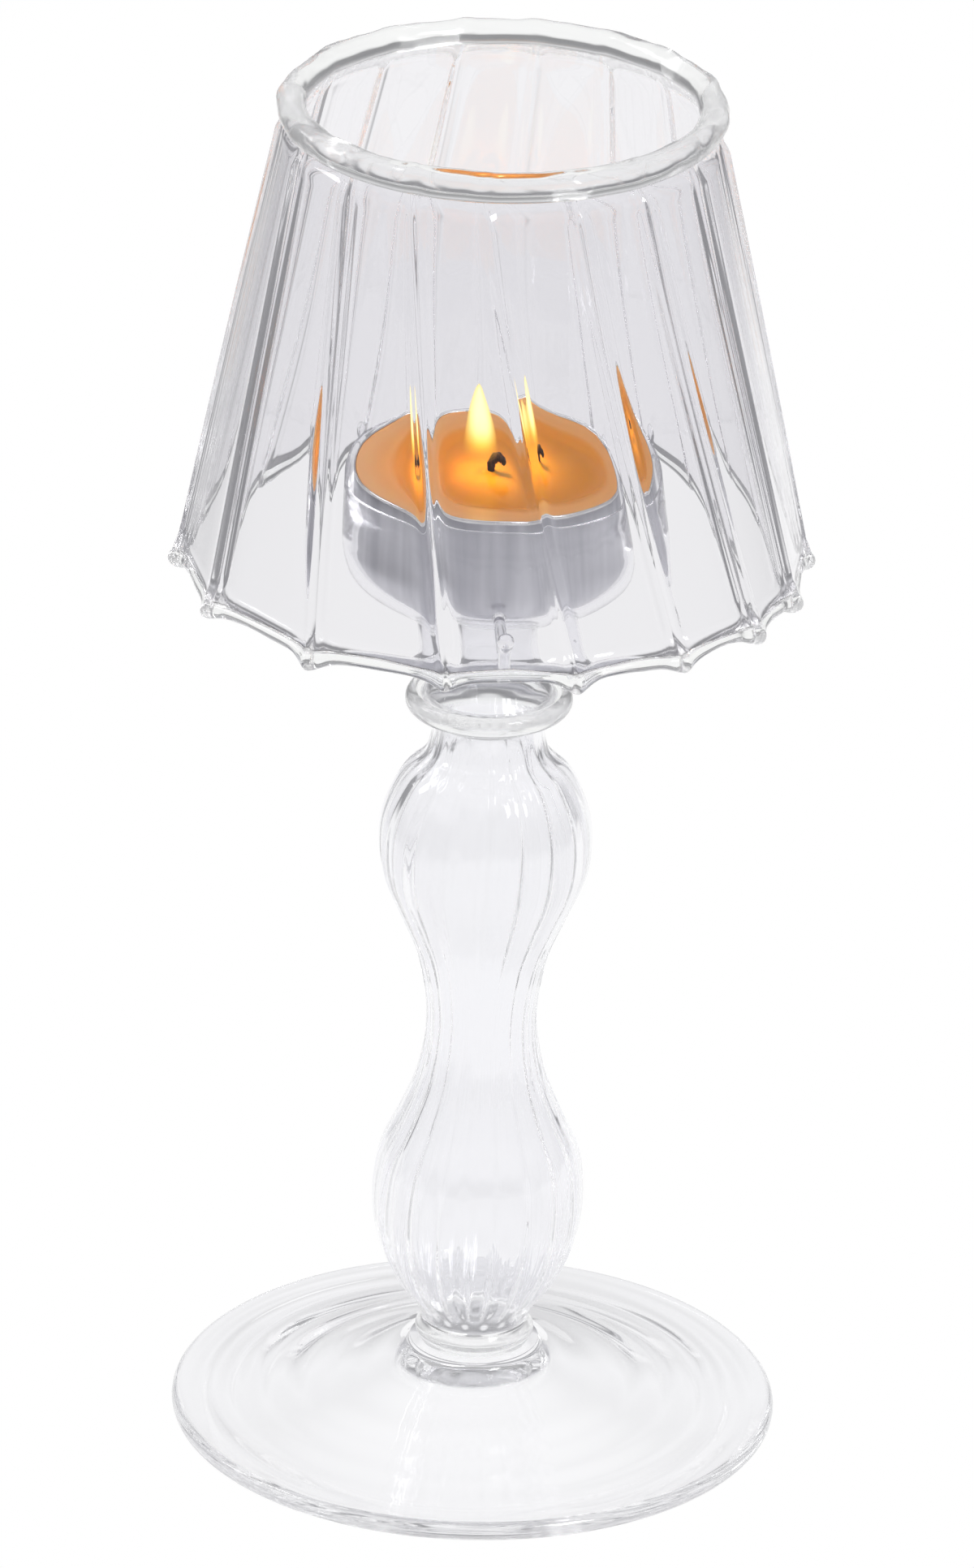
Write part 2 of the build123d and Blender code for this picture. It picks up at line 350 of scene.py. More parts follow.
def noise_share(nodes, links, scale, stretch):
    """Noise from 0 to 1 over the object's own coordinates.

    A small number in stretch draws it out along that axis."""
    coordinates = nodes.new("ShaderNodeTexCoord")
    mapping = nodes.new("ShaderNodeMapping")
    mapping.inputs["Scale"].default_value = stretch
    texture = nodes.new("ShaderNodeTexNoise")
    texture.inputs["Scale"].default_value = scale
    texture.inputs["Detail"].default_value = 2.0
    links.new(coordinates.outputs["Object"], mapping.inputs["Vector"])
    links.new(mapping.outputs["Vector"], texture.inputs["Vector"])
    return texture.outputs["Fac"]


def add_ramp(nodes, stops, interpolation="LINEAR"):
    """A colour ramp. stops holds (position, colour), where a colour may have its own alpha."""
    ramp = nodes.new("ShaderNodeValToRGB")
    ramp.color_ramp.interpolation = interpolation
    elements = ramp.color_ramp.elements
    while len(elements) < len(stops):
        elements.new(0.5)
    for element, (position, colour) in zip(elements, stops):
        element.position = position
        element.color = colour if len(colour) == 4 else (*colour, 1)
    return ramp


def add_bump(nodes, links, height, strength, distance):
    """A bump node fed by a height."""
    node = nodes.new("ShaderNodeBump")
    node.inputs["Strength"].default_value = strength
    node.inputs["Distance"].default_value = distance
    links.new(height, node.inputs["Height"])
    return node


def glass_material(name, tint, roughness, ripple, ripple_scale, stretch=(1, 1, 1)):
    """Clear glass with faint ripples. Each wall that light crosses dims it by the tint."""
    material, nodes, links, output = new_material(name)
    glass = nodes.new("ShaderNodeBsdfPrincipled")
    glass.inputs["Base Color"].default_value = (*tint, 1)
    glass.inputs["Transmission Weight"].default_value = 1.0
    glass.inputs["Roughness"].default_value = roughness
    glass.inputs["IOR"].default_value = GLASS_IOR
    height = noise_share(nodes, links, ripple_scale, stretch)
    ripples = add_bump(nodes, links, height, 1.0, ripple * MM)
    links.new(ripples.outputs["Normal"], glass.inputs["Normal"])
    links.new(glass.outputs["BSDF"], output.inputs["Surface"])
    return material


def joint_material(name):
    """The hidden face where two gathers of glass are fused: light goes straight through."""
    material, nodes, links, output = new_material(name)
    clear = nodes.new("ShaderNodeBsdfTransparent")
    links.new(clear.outputs["BSDF"], output.inputs["Surface"])
    return material


def metal_material(name, colour, dark, roughness, stretch, scale):
    """Metal with drawn marks that vary its colour, gloss and surface."""
    material, nodes, links, output = new_material(name)
    metal = nodes.new("ShaderNodeBsdfPrincipled")
    metal.inputs["Metallic"].default_value = 1.0
    share = noise_share(nodes, links, scale, stretch)
    ramp = add_ramp(nodes, [(0.3, dark), (0.7, colour)])
    links.new(share, ramp.inputs["Fac"])
    links.new(ramp.outputs["Color"], metal.inputs["Base Color"])
    spread = nodes.new("ShaderNodeMapRange")
    spread.inputs["To Min"].default_value = roughness - METAL_GLOSS_SPREAD
    spread.inputs["To Max"].default_value = roughness + METAL_GLOSS_SPREAD
    links.new(share, spread.inputs["Value"])
    links.new(spread.outputs["Result"], metal.inputs["Roughness"])
    marks = add_bump(nodes, links, share, 0.25, 0.05 * MM)
    links.new(marks.outputs["Normal"], metal.inputs["Normal"])
    links.new(metal.outputs["BSDF"], output.inputs["Surface"])
    return material


def radial_ramp(nodes, links, reach, stops, shift=0.0, narrow=1.0):
    """A colour ramp over the distance from an upright axis, in shares of reach.

    shift moves the axis along X, and narrow squeezes the rings along X."""
    coordinates = nodes.new("ShaderNodeTexCoord")
    place = nodes.new("ShaderNodeMapping")
    place.inputs["Location"].default_value = (-shift * narrow * MM, 0, 0)
    place.inputs["Scale"].default_value = (narrow, 1, 1)
    flat = nodes.new("ShaderNodeVectorMath")
    flat.operation = "MULTIPLY"
    flat.inputs[1].default_value = (1, 1, 0)
    length = nodes.new("ShaderNodeVectorMath")
    length.operation = "LENGTH"
    share = nodes.new("ShaderNodeMath")
    share.operation = "DIVIDE"
    share.inputs[1].default_value = reach * MM
    ramp = add_ramp(nodes, stops, "EASE")
    links.new(coordinates.outputs["Object"], place.inputs["Vector"])
    links.new(place.outputs["Vector"], flat.inputs[0])
    links.new(flat.outputs["Vector"], length.inputs[0])
    links.new(length.outputs["Value"], share.inputs[0])
    links.new(share.outputs["Value"], ramp.inputs["Fac"])
    return ramp


def wax_material():
    """Translucent wax: a clear pool in the middle, cloudy and paler at the rim. Its warm colours are
    partly its own and partly painted flame light, and its emission is a painted glow.
    """
    material, nodes, links, output = new_material("wax_with_painted_flame_light")
    wax = nodes.new("ShaderNodeBsdfPrincipled")
    # Base colour: the wax's own pool and rim, tinted warm with painted flame light.
    ramp = radial_ramp(nodes, links, WAX_REACH, [
        (0.0, (0.72, 0.32, 0.015)),
        (0.52, (0.58, 0.23, 0.010)),
        (0.66, (0.66, 0.28, 0.05)),
        (0.76, (0.86, 0.43, 0.15)),
        (1.0, (0.95, 0.54, 0.26)),
    ], POOL_SHIFT)
    # Painted glow: emission that stands in for the flame's light shining through the wax.
    glow = radial_ramp(nodes, links, WAX_REACH, [
        (0.0, (0.95, 0.42, 0.03)),
        (0.5, (0.60, 0.22, 0.01)),
        (1.0, (0.42, 0.15, 0.04)),
    ], POOL_SHIFT)
    cloud = noise_share(nodes, links, 260.0, (1, 1, 1))
    gloss = nodes.new("ShaderNodeMapRange")
    gloss.inputs["From Min"].default_value = 0.35
    gloss.inputs["From Max"].default_value = 0.65
    gloss.inputs["To Min"].default_value = 0.12
    gloss.inputs["To Max"].default_value = 0.24
    soft = add_bump(nodes, links, cloud, 0.2, 0.05 * MM)
    wax.inputs["Specular IOR Level"].default_value = 0.15
    wax.inputs["Subsurface Weight"].default_value = 0.25
    wax.inputs["Subsurface Radius"].default_value = (0.004, 0.0015, 0.0005)
    # The strength of the painted flame glow.
    wax.inputs["Emission Strength"].default_value = 0.16
    links.new(ramp.outputs["Color"], wax.inputs["Base Color"])
    links.new(glow.outputs["Color"], wax.inputs["Emission Color"])
    links.new(cloud, gloss.inputs["Value"])
    links.new(gloss.outputs["Result"], wax.inputs["Roughness"])
    links.new(soft.outputs["Normal"], wax.inputs["Normal"])
    links.new(wax.outputs["BSDF"], output.inputs["Surface"])
    return material


def wick_material():
    """Charred cotton: sooty black with a few grey fibres."""
    material, nodes, links, output = new_material("wick_char")
    cotton = nodes.new("ShaderNodeBsdfPrincipled")
    fibre = noise_share(nodes, links, 2600.0, (1, 1, 0.3))
    ramp = add_ramp(nodes, [(0.4, (0.006, 0.004, 0.003)), (0.75, (0.07, 0.04, 0.025))])
    fibres = add_bump(nodes, links, fibre, 0.8, 0.1 * MM)
    cotton.inputs["Roughness"].default_value = 0.85
    links.new(fibre, ramp.inputs["Fac"])
    links.new(ramp.outputs["Color"], cotton.inputs["Base Color"])
    links.new(fibres.outputs["Normal"], cotton.inputs["Normal"])
    links.new(cotton.outputs["BSDF"], output.inputs["Surface"])
    return material


def flame_material(name, strength, stops):
    """A glowing shell of flame. stops give its colour and, as alpha, how solid it is."""
    material, nodes, links, output = new_material(name)
    coordinates = nodes.new("ShaderNodeTexCoord")
    split = nodes.new("ShaderNodeSeparateXYZ")
    height = nodes.new("ShaderNodeMapRange")
    height.inputs["From Min"].default_value = FLAME_FOOT * MM
    height.inputs["From Max"].default_value = FLAME_TIP * MM
    ramp = add_ramp(nodes, stops)
    glow = nodes.new("ShaderNodeEmission")
    glow.inputs["Strength"].default_value = strength
    clear = nodes.new("ShaderNodeBsdfTransparent")
    mix = nodes.new("ShaderNodeMixShader")
    links.new(coordinates.outputs["Object"], split.inputs["Vector"])
    links.new(split.outputs["Z"], height.inputs["Value"])
    links.new(height.outputs["Result"], ramp.inputs["Fac"])
    links.new(ramp.outputs["Color"], glow.inputs["Color"])
    links.new(ramp.outputs["Alpha"], mix.inputs["Fac"])
    links.new(clear.outputs["BSDF"], mix.inputs[1])
    links.new(glow.outputs["Emission"], mix.inputs[2])
    links.new(mix.outputs["Shader"], output.inputs["Surface"])
    return material


# ------------------------------------------------------------------ base
def foot_shape(radius, height, angle, run):
    """Shallow ripples that the glassworker's tool left in the foot, stronger on two sides."""
    upper = run >= 2
    side = 0.55 + 0.45 * math.cos(2 * angle + 0.4)
    wave = 0.0
    if FOOT_RIPPLE_START < radius < FOOT_RIPPLE_END and upper:
        fade = ease((radius - FOOT_RIPPLE_START) / 6) * ease((FOOT_RIPPLE_END - radius) / 3)
        drift = 1.6 * math.cos(angle - 0.9)
        depth = 0.10 + 0.14 * ease((radius - 22) / 12)
        wave = depth * side * fade * math.sin((radius + drift) * math.tau / 4.6)
    if radius < 30 and not upper:
        fade = ease(radius / 8) * ease((30 - radius) / 6)
        wave = 0.07 * fade * math.sin(radius * math.tau / 9 + 1.5 * math.cos(angle + 1.0))
    return radius, height + wave


def make_foot(glass, fused):
    """The round foot, hollow underneath, with the flat disc that its ring is fused to."""
    radius = radius_of("foot")
    top = top_of("foot")
    centre = (radius - FOOT_EDGE, FOOT_EDGE)
    hollow = smooth([(0, 6.6), (9.0, 5.6), (18.0, 3.4), (27.0, 1.1), (FOOT_REST, 0.0)], 10)
    rest = line((FOOT_REST, 0.0), (centre[0], 0.0), 4)
    rim = arc(centre, FOOT_EDGE, -90, 90, 12)
    slope = smooth([rim[-1], (34.0, 3.25), (24.0, 4.9), (13.0, 7.6), (9.4, 9.3), (8.6, top)], 12)
    runs = [
        (hollow, 0),
        (rest, 0),
        (rim, 0),
        (slope, 0),
        (line(slope[-1], (STEM_END_RADIUS, top)), 0),
        (line((STEM_END_RADIUS, top), (0, top)), 1),
    ]
    foot = lathe("foot_glass", runs, [glass, fused], segments=220, shape=foot_shape)
    finish_piece(foot, "base", "clear_glass", "foot")


def make_foot_ring(glass, fused):
    """The wafer between the foot and the stem. A drop of it rises inside the stem."""
    low = top_of("foot")
    high = bottom_of("stem")
    bore = STEM_END_RADIUS - STEM_WALL
    bulge = smooth([
        (STEM_END_RADIUS, low),
        (radius_of("foot_ring") - 0.05, (low + high) / 2),
        (STEM_END_RADIUS, high),
    ], 8)
    runs = [
        (line((0, low), (STEM_END_RADIUS, low)), 1),
        (bulge, 0),
        (line((STEM_END_RADIUS, high), (bore, high)), 1),
        (smooth([(bore, high), (3.5, high + 0.9), (0, high + 1.3)], 6), 0),
    ]
    ring = lathe("foot_ring_glass", runs, [glass, fused])
    finish_piece(ring, "base", "ring_glass", "foot_ring")


def stem_lobes(low, high):
    """A shape for the stem: soft lobes from the ribbed mould, which fade at its two ends."""
    def shape(radius, height, angle, run):
        share = (height - low) / (high - low)
        fade = ease(share / 0.06) * ease((1 - share) / 0.06)
        turned = angle - math.radians(STEM_TWIST) * share
        lobe = math.cos(STEM_LOBES * turned) + 0.35 * math.cos(STEM_LOBES * turned * 2 + 3 * share)
        size = radius / STEM_BULB_RADIUS
        uneven = 1 + 0.35 * math.sin(3 * turned + 7 * share)
        depth = STEM_LOBE_OUTER if run == 0 else -STEM_LOBE_INNER
        return radius + depth * lobe * fade * size * uneven, height
    return shape


def make_stem(glass, fused):
    """The blown stem: two bulbs with a waist between them."""
    low = bottom_of("stem")
    high = top_of("stem")
    wide = radius_of("stem")
    outline = [
        (STEM_END_RADIUS, low),
        (7.9, low + 2.2),
        (10.6, 19.8),
        (13.0, 25.0),
        (wide - 0.1, 31.0),
        (13.4, 38.0),
        (10.8, 44.0),
        (8.4, 50.5),
        (7.35, 58.6),
        (8.5, 66.8),
        (10.9, 73.0),
        (13.4, 79.0),
        (wide - 0.05, 84.0),
        (13.45, 88.6),
        (11.3, 93.3),
        (8.2, 96.6),
        (STEM_END_RADIUS, high),
    ]
    outer = smooth(outline, 7)
    inner = [(radius - STEM_WALL, height) for radius, height in reversed(outer)]
    runs = [
        (outer, 0),
        (line(outer[-1], inner[0]), 1),
        (inner, 0),
        (line(inner[-1], outer[0]), 1),
    ]
    lobes = stem_lobes(low, high)
    stem = lathe("stem_glass", runs, [glass, fused], closed=True, segments=280, shape=lobes)
    finish_piece(stem, "base", "clear_glass", "stem")


def make_collar(glass, fused):
    """The thick ring on top of the stem, with a rounded lip round the neck's foot."""
    radius = radius_of("collar")
    low = bottom_of("collar")
    seat = bottom_of("cup_neck")
    centre = (radius - COLLAR_LIP, top_of("collar") - COLLAR_LIP)
    bore = STEM_END_RADIUS - STEM_WALL
    flare = radius_of("cup_neck")
    lip = arc(centre, COLLAR_LIP, -75, 80, 10)
    outside = smooth([(STEM_END_RADIUS, low), (8.1, low + 0.75)] + lip, 3)
    neck_foot = (NECK_FOOT_RADIUS, seat)
    neck_inside = (NECK_FOOT_RADIUS - NECK_WALL, seat)
    runs = [
        (outside, 0),
        (smooth([outside[-1], (flare + 0.15, seat + 0.15), neck_foot], 4), 0),
        (line(neck_foot, neck_inside), 1),
        (smooth([neck_inside, (6.9, 103.6), (bore, low)], 6), 0),
        (line((bore, low), (STEM_END_RADIUS, low)), 1),
    ]
    collar = lathe("collar_glass", runs, [glass, fused], closed=True)
    finish_piece(collar, "base", "ring_glass", "collar")


def make_neck(glass, fused):
    """The short waisted tube under the cup."""
    low = bottom_of("cup_neck")
    high = top_of("cup_neck")
    outer = smooth([
        (NECK_FOOT_RADIUS, low),
        (7.7, low + 2.4),
        (7.2, 110.6),
        (7.7, 115.6),
        (NECK_TOP_RADIUS, high),
    ], 8)
    inner = smooth([
        (PLUG_RADIUS, high),
        (6.0, 115.6),
        (5.8, 110.6),
        (6.3, low + 2.4),
        (NECK_FOOT_RADIUS - NECK_WALL, low),
    ], 8)
    runs = [
        (outer, 0),
        (line(outer[-1], inner[0]), 1),
        (inner, 0),
        (line(inner[-1], outer[0]), 1),
    ]
    neck = lathe("cup_neck_glass", runs, [glass, fused], closed=True)
    finish_piece(neck, "base", "clear_glass", "cup_neck")


def make_cup(glass, fused):
    """The cup, whose wall thins towards its lip, and the drop of glass under its floor."""
    radius = radius_of("candle_cup")
    rim_top = top_of("candle_cup")
    under = top_of("cup_neck")
    floor = under + CUP_WALL
    inner = radius - CUP_WALL
    corner = (radius - CUP_CORNER, under + CUP_CORNER)
    lip = arc((radius - CUP_LIP - 0.1, rim_top - CUP_LIP), CUP_LIP, 0, 180, 6)
    wall = [(radius, corner[1]), (radius, rim_top - 2.4)] + lip
    wall += [(inner + 0.7, rim_top - 1.6), (inner + 0.35, rim_top - 4), (inner, corner[1])]
    runs = [
        (smooth([(0, under - PLUG_DEPTH), (3.6, under - 2.75), (PLUG_RADIUS, under)], 8), 0),
        (line((PLUG_RADIUS, under), (NECK_TOP_RADIUS, under)), 1),
        (line((NECK_TOP_RADIUS, under), (corner[0], under), 2), 0),
        (arc(corner, CUP_CORNER, -90, 0, 18), 0),
        (smooth(wall, 4), 0),
        (arc(corner, CUP_CORNER - CUP_WALL, 0, -90, 18), 0),
        (line((corner[0], floor), (0, floor), 6), 0),
    ]
    cup = lathe("candle_cup_glass", runs, [glass, fused], segments=200)
    finish_piece(cup, "base", "clear_glass", "candle_cup")


def make_arm(node, angle, glass):
    """A thin rod from the cup to its round tip, which the shade rests on."""
    low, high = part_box(node)
    direction = Vector((math.cos(math.radians(angle)), math.sin(math.radians(angle)), 0))
    axis = 0 if abs(direction.x) > abs(direction.y) else 1
    far = max(abs(low[axis]), abs(high[axis])) / MM - ARM_TIP_RADIUS
    reach = far / abs(direction[axis])
    root_height = low.z / MM + ARM_RADIUS
    tip_height = high.z / MM - ARM_TIP_RADIUS
    outline = [
        (ARM_ROOT, root_height),
        (ARM_ROOT + 3.2, root_height),
        (reach - 8.0, root_height),
        (reach - 4.4, root_height + 0.5),
        (reach - 1.6, tip_height - 2.2),
        (reach, tip_height),
    ]
    path = []
    radii = []
    for along, height in smooth(outline, 8):
        path.append(direction * along + Vector((0, 0, height)))
        flare = 0.2 * bump(along - ARM_ROOT, 1.2)
        ball = (ARM_TIP_RADIUS - ARM_RADIUS) * bump(height - tip_height, 0.9)
        radii.append(ARM_RADIUS + flare + ball)
    last = (path[-1] - path[-2]).normalized()
    end = path[-1]
    for step in (0.35, 0.65, 0.85, 0.97):
        path.append(end + last * ARM_TIP_RADIUS * step)
        radii.append(ARM_TIP_RADIUS * math.sqrt(1 - step * step))
    arm = rod(node + "_glass", path, radii, glass)
    finish_piece(arm, "base", "clear_glass", node)


# ------------------------------------------------------------------ shade
def shade_columns():
    """Where the columns of the shade's mesh stand: (rib, share of the way to the next rib)."""
    near = [0.0, 0.014, 0.028, 0.042, 0.058, 0.078, 0.105, 0.145, 0.2, 0.28, 0.38]
    shares = near + [0.5] + [1 - share for share in reversed(near[1:])]
    return [(rib, share) for rib in range(len(RIBS)) for share in shares]


def rib_angle(rib, up):
    """A rib's direction in degrees, at a share of the shade's height."""
    start, turn = RIBS[rib % len(RIBS)]
    return start - turn * up + 360 * (rib // len(RIBS))


def shade_point(rib, share, up):
    """A column's direction, the half angle of its panel and its distance from the nearest rib."""
    left = rib_angle(rib, up)
    right = rib_angle(rib + 1, up)
    angle = left + (right - left) * share
    half = math.radians(right - left) / 2
    off = math.radians(angle - (left + right) / 2)
    nearest = half - abs(off)
    return math.radians(angle), half, off, nearest


def wall_radius(up):
    """The wall's outer radius at a rib. It draws in a little just under the upper ring."""
    cone = SHADE_LOW_RADIUS + (SHADE_HIGH_RADIUS - SHADE_LOW_RADIUS) * up
    return cone - 0.15 * ease((up - 0.93) / 0.07)


def wall_pair(rib, share, up):
    """The outer and inner radius of the wall in one place, and its direction."""
    angle, half, off, nearest = shade_point(rib, share, up)
    full = wall_radius(up)
    chord = full * math.cos(half) / math.cos(off)
    panel = full + (chord - full) * PANEL_FLATNESS
    distance = nearest * full
    strength = 0.9 + 0.2 * math.sin((rib + (share > 0.5)) * 2.4 + 3 * up)
    fade = 1 - 0.35 * ease((up - 0.6) / 0.4)
    wave = 0.05 * math.sin(6 * up + 2.1 * rib) * (1 - bump(distance, 2.0))
    ridge = bump(distance, RIB_WIDTH) * strength
    outer = panel + RIB_OUTER * ridge + wave
    swell = RIB_INNER * bump(distance, RIB_WIDTH * 1.3) * strength
    swell += RIB_SHOULDER * bump(distance, SHOULDER_WIDTH)
    swell += PANEL_LENS * (1 - nearest / half) ** 2
    thick = SHADE_WALL + swell * fade
    return angle, outer, outer - thick


def polar(angle, radius, height):
    """A point from its direction, radius and height."""
    return (radius * math.cos(angle), radius * math.sin(angle), height)


def top_arc(rib, share, high_height):
    """The upper ring's section in one column, from outside the wall over the top to inside it.

    The ring is thickest in front, and lumpy outside, where the ribs run into it."""
    angle, _, _, nearest = shade_point(rib, share, 1.0)
    lump = bump(nearest * SHADE_HIGH_RADIUS, 1.9)
    front = 0.5 - 0.5 * math.sin(angle)
    section = TOP_SECTION * (0.97 + 0.20 * front)
    centre = (TOP_RING_CENTRE - 0.25 * front, high_height - section - 0.12)
    points = []
    for step, point in enumerate(arc(centre, section, TOP_START, TOP_END, TOP_STEPS)):
        along = step / TOP_STEPS
        turn = math.radians(TOP_START + (TOP_END - TOP_START) * along)
        outward = max(0.0, math.cos(turn - 0.5))
        place = Vector((math.cos(angle) * 3.2, math.sin(angle) * 3.2, 0.5 * math.sin(turn)))
        uneven = 0.22 * noise.noise(place * 1.7) + 0.10 * noise.noise(place * 4.1)
        growth = (0.30 * lump * outward + uneven) * ease(4 * along) * ease(4 - 4 * along)
        height = min(point[1] + growth * math.sin(turn), high_height)
        points.append((point[0] + growth * math.cos(turn), height))
    return angle, points


def rim_arc(rib, share):
    """The lower rod's section in one column, from inside the wall under the edge to outside it."""
    angle, outer, _ = wall_pair(rib, share, 0.0)
    _, _, _, nearest = shade_point(rib, share, 0.0)
    distance = nearest * SHADE_LOW_RADIUS
    drop = bump(distance, 2.1) * (0.85 + 0.2 * math.sin(2.7 * (rib + (share > 0.5))))
    uneven = 0.08 * math.sin(11 * angle) + 0.06 * math.sin(29 * angle + 1)
    section = RIM_SECTION + 0.55 * drop + uneven * (1 - drop)
    middle = outer - 0.75 + 0.25 * drop
    height = SHADE_RIM_HEIGHT - 0.70 * drop + 0.35 * (1 - bump(distance, 6.0))
    return angle, arc((middle, height), section, RIM_START, RIM_END, RIM_STEPS)


def wall_rows(columns):
    """The rings of points up the outside and the inside of the shade's wall."""
    outer_rows = []
    inner_rows = []
    for row in range(2, WALL_ROWS - 2):
        up = row / WALL_ROWS
        height = SHADE_RIM_HEIGHT + (TOP_RING_HEIGHT - SHADE_RIM_HEIGHT) * up
        places = [wall_pair(rib, share, up) for rib, share in columns]
        outer_rows.append([polar(angle, outer, height) for angle, outer, _ in places])
        inner_rows.append([polar(angle, inner, height) for angle, _, inner in places])
    return outer_rows, inner_rows


def section_rows(sections, steps):
    """The rings of points along a rod, from its section in each column."""
    return [
        [polar(angle, *points[index]) for angle, points in sections]
        for index in range(steps + 1)
    ]


def shade_skin(name, rings, marks, glass, fused):
    """A closed skin of the shade. marks says which of its rings start a fused face."""
    return ring_mesh(name, rings, marks, [glass, fused], closed=True, sharp=SMOOTH_ALL)


def make_shade(glass, ring_glass, fused):
    """The shade: ribbed wall, rolled upper ring and the beaded rod along the lower edge."""
    columns = shade_columns()
    high = top_of("shade_top_ring")
    top_rows = section_rows([top_arc(rib, share, high) for rib, share in columns], TOP_STEPS)
    rim_rows = section_rows([rim_arc(rib, share) for rib, share in columns], RIM_STEPS)
    outer_rows, inner_rows = wall_rows(columns)
    outside = [rim_rows[-1]] + outer_rows + [top_rows[0]]
    inside = [top_rows[-1]] + inner_rows[::-1] + [rim_rows[0]]
    wall_marks = [0] * (len(outside) - 1) + [1] + [0] * (len(inside) - 1) + [1]
    wall = shade_skin("shade_wall_glass", outside + inside, wall_marks, glass, fused)
    finish_piece(wall, "shade", "clear_glass", "shade_wall")
    top = shade_skin("shade_top_ring_glass", top_rows, [0] * TOP_STEPS + [1], ring_glass, fused)
    finish_piece(top, "shade", "ring_glass", "shade_top_ring")
    rim = shade_skin("shade_bottom_rim_glass", rim_rows, [0] * RIM_STEPS + [1], ring_glass, fused)
    beads = [f"shade_bead_{number:02d}" for number in range(1, len(RIBS) + 1)]
    finish_piece(rim, "shade", "ring_glass", "shade_bottom_rim", *beads)


# ------------------------------------------------------------------ tealight
def can_shape(radius, height, angle, run):
    """Faint upright draw marks and a slightly uneven wall."""
    marks = 0.006 * math.sin(46 * angle) + 0.006 * math.sin(31 * angle + 1.3)
    dents = 0.05 * math.sin(3 * angle + 0.5) + 0.04 * math.sin(5 * angle + height * 0.3)
    return radius + (marks + dents) * ease((radius - 8) / 8), height


def make_can(metal, highlight_edge_metal):
    """The drawn cup. Its thin rolled edge is a glossier, lighter copy of the aluminium: a painted
    highlight.
    """
    rim_radius = radius_of("tealight_can")
    low = bottom_of("tealight_can")
    high = top_of("tealight_can")
    neck = (rim_radius - 0.16, high - 0.5)
    neck_inside = (neck[0] - CAN_WALL, neck[1] - 0.2)
    roll_centre = (rim_radius - CAN_ROLL - 0.1, high - CAN_ROLL)
    corner_centre = (CAN_FOOT_RADIUS - CAN_CORNER, low + CAN_CORNER)
    outer = arc(corner_centre, CAN_CORNER, -90, -1, 14)
    inner = arc(corner_centre, CAN_CORNER - CAN_WALL, -1, -90, 14)
    runs = [
        (line((0, low), outer[0], 6), 0),
        (outer, 0),
        (line(outer[-1], neck, 8), 0),
        # The rolled edge takes material 1, the lighter aluminium that paints a highlight.
        (smooth([neck] + arc(roll_centre, CAN_ROLL, -60, 180, 10), 2), 1),
        (line((roll_centre[0] - CAN_ROLL, high - CAN_ROLL), neck_inside, 2), 1),
        (line(neck_inside, inner[0], 6), 0),
        (inner, 0),
        (line(inner[-1], (0, low + CAN_WALL), 6), 0),
    ]
    metals = [metal, highlight_edge_metal]
    can = lathe("tealight_can_metal", runs, metals, segments=300, shape=can_shape, sharp=60)
    finish_piece(can, "tealight", "aluminium", "tealight_can")


def wax_shape(radius, height, angle, run):
    """The melted pool lies a little to the right, and its edge wanders."""
    wander = 0.4 * math.sin(2 * angle + 0.6) + 0.3 * math.sin(3 * angle + 2)
    moved = (POOL_SHIFT * math.cos(angle) + wander) * bump(radius - POOL_RADIUS, 3.0)
    return radius + moved * (run == WAX_SURFACE_RUN), height


def make_wax(material):
    """The wax fills the can to its edge, round a pool that climbs a little at the wick."""
    radius = radius_of("tealight_can") - 0.5
    low = bottom_of("wax")
    high = top_of("tealight_can") - 0.12
    pool = top_of("wax") - 0.75
    foot_radius = CAN_FOOT_RADIUS - WAX_INSET
    corner = CAN_CORNER - WAX_INSET
    surface = [
        (radius, high),
        (radius - 0.35, high - 0.14),
        (radius - 1.6, high - 0.22),
        (POOL_RADIUS + 2.6, high - 0.24),
        (POOL_RADIUS + 1.2, high - 0.36),
        (POOL_RADIUS, pool + 0.24),
        (POOL_RADIUS - 1.4, pool + 0.02),
        (7.0, pool),
        (2.4, pool),
        (1.2, pool + 0.12),
        (0.65, pool + 0.45),
        (0, pool + 0.5),
    ]
    runs = [
        (line((0, low), (foot_radius - corner, low), 4), 0),
        (arc((foot_radius - corner, low + corner), corner, -90, -1, 10), 0),
        (line((foot_radius, low + corner), surface[0], 4), 0),
        (smooth(surface, 6), 0),
    ]
    wax = lathe("wax_pool", runs, [material], segments=160, shape=wax_shape)
    finish_piece(wax, "tealight", "wax", "wax")


def make_wick(material):
    """The braided wick, which curls over to the right at its burnt end."""
    low = bottom_of("wick")
    bend = top_of("wick") - WICK_CURL - 0.1
    path = [(0, 0, low + (bend - low) * step / 14) for step in range(14)]
    for x, rise in arc((WICK_CURL, 0), WICK_CURL, 180, 30, 10):
        path.append((x, 0, bend + rise))
    radii = [WICK_RADIUS * (1 + 0.12 * math.sin(2.2 * index)) for index in range(len(path))]
    radii[-1] = WICK_RADIUS * 0.7
    wick = rod("wick_braid", path, radii, material, around=14)
    finish_piece(wick, "tealight", "wick", "wick")


def make_flame_shell(name, outline, material):
    """A shell of flame from (height, radius) pairs, drawn to a point at both ends."""
    around = 28
    rings = []
    for height, radius in smooth(outline, 6):
        centre = FLAME_CENTRE + 0.15 * math.sin((height - FLAME_FOOT) * 0.5)
        if radius < 1e-6:
            rings.append([(centre, 0, height)])
            continue
        turns = [math.tau * step / around for step in range(around)]
        rings.append([
            (centre + radius * math.cos(turn), radius * math.sin(turn), height)
            for turn in turns
        ])
    shell = ring_mesh(name, rings, [0] * len(rings), [material], closed=False)
    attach(shell, "tealight")


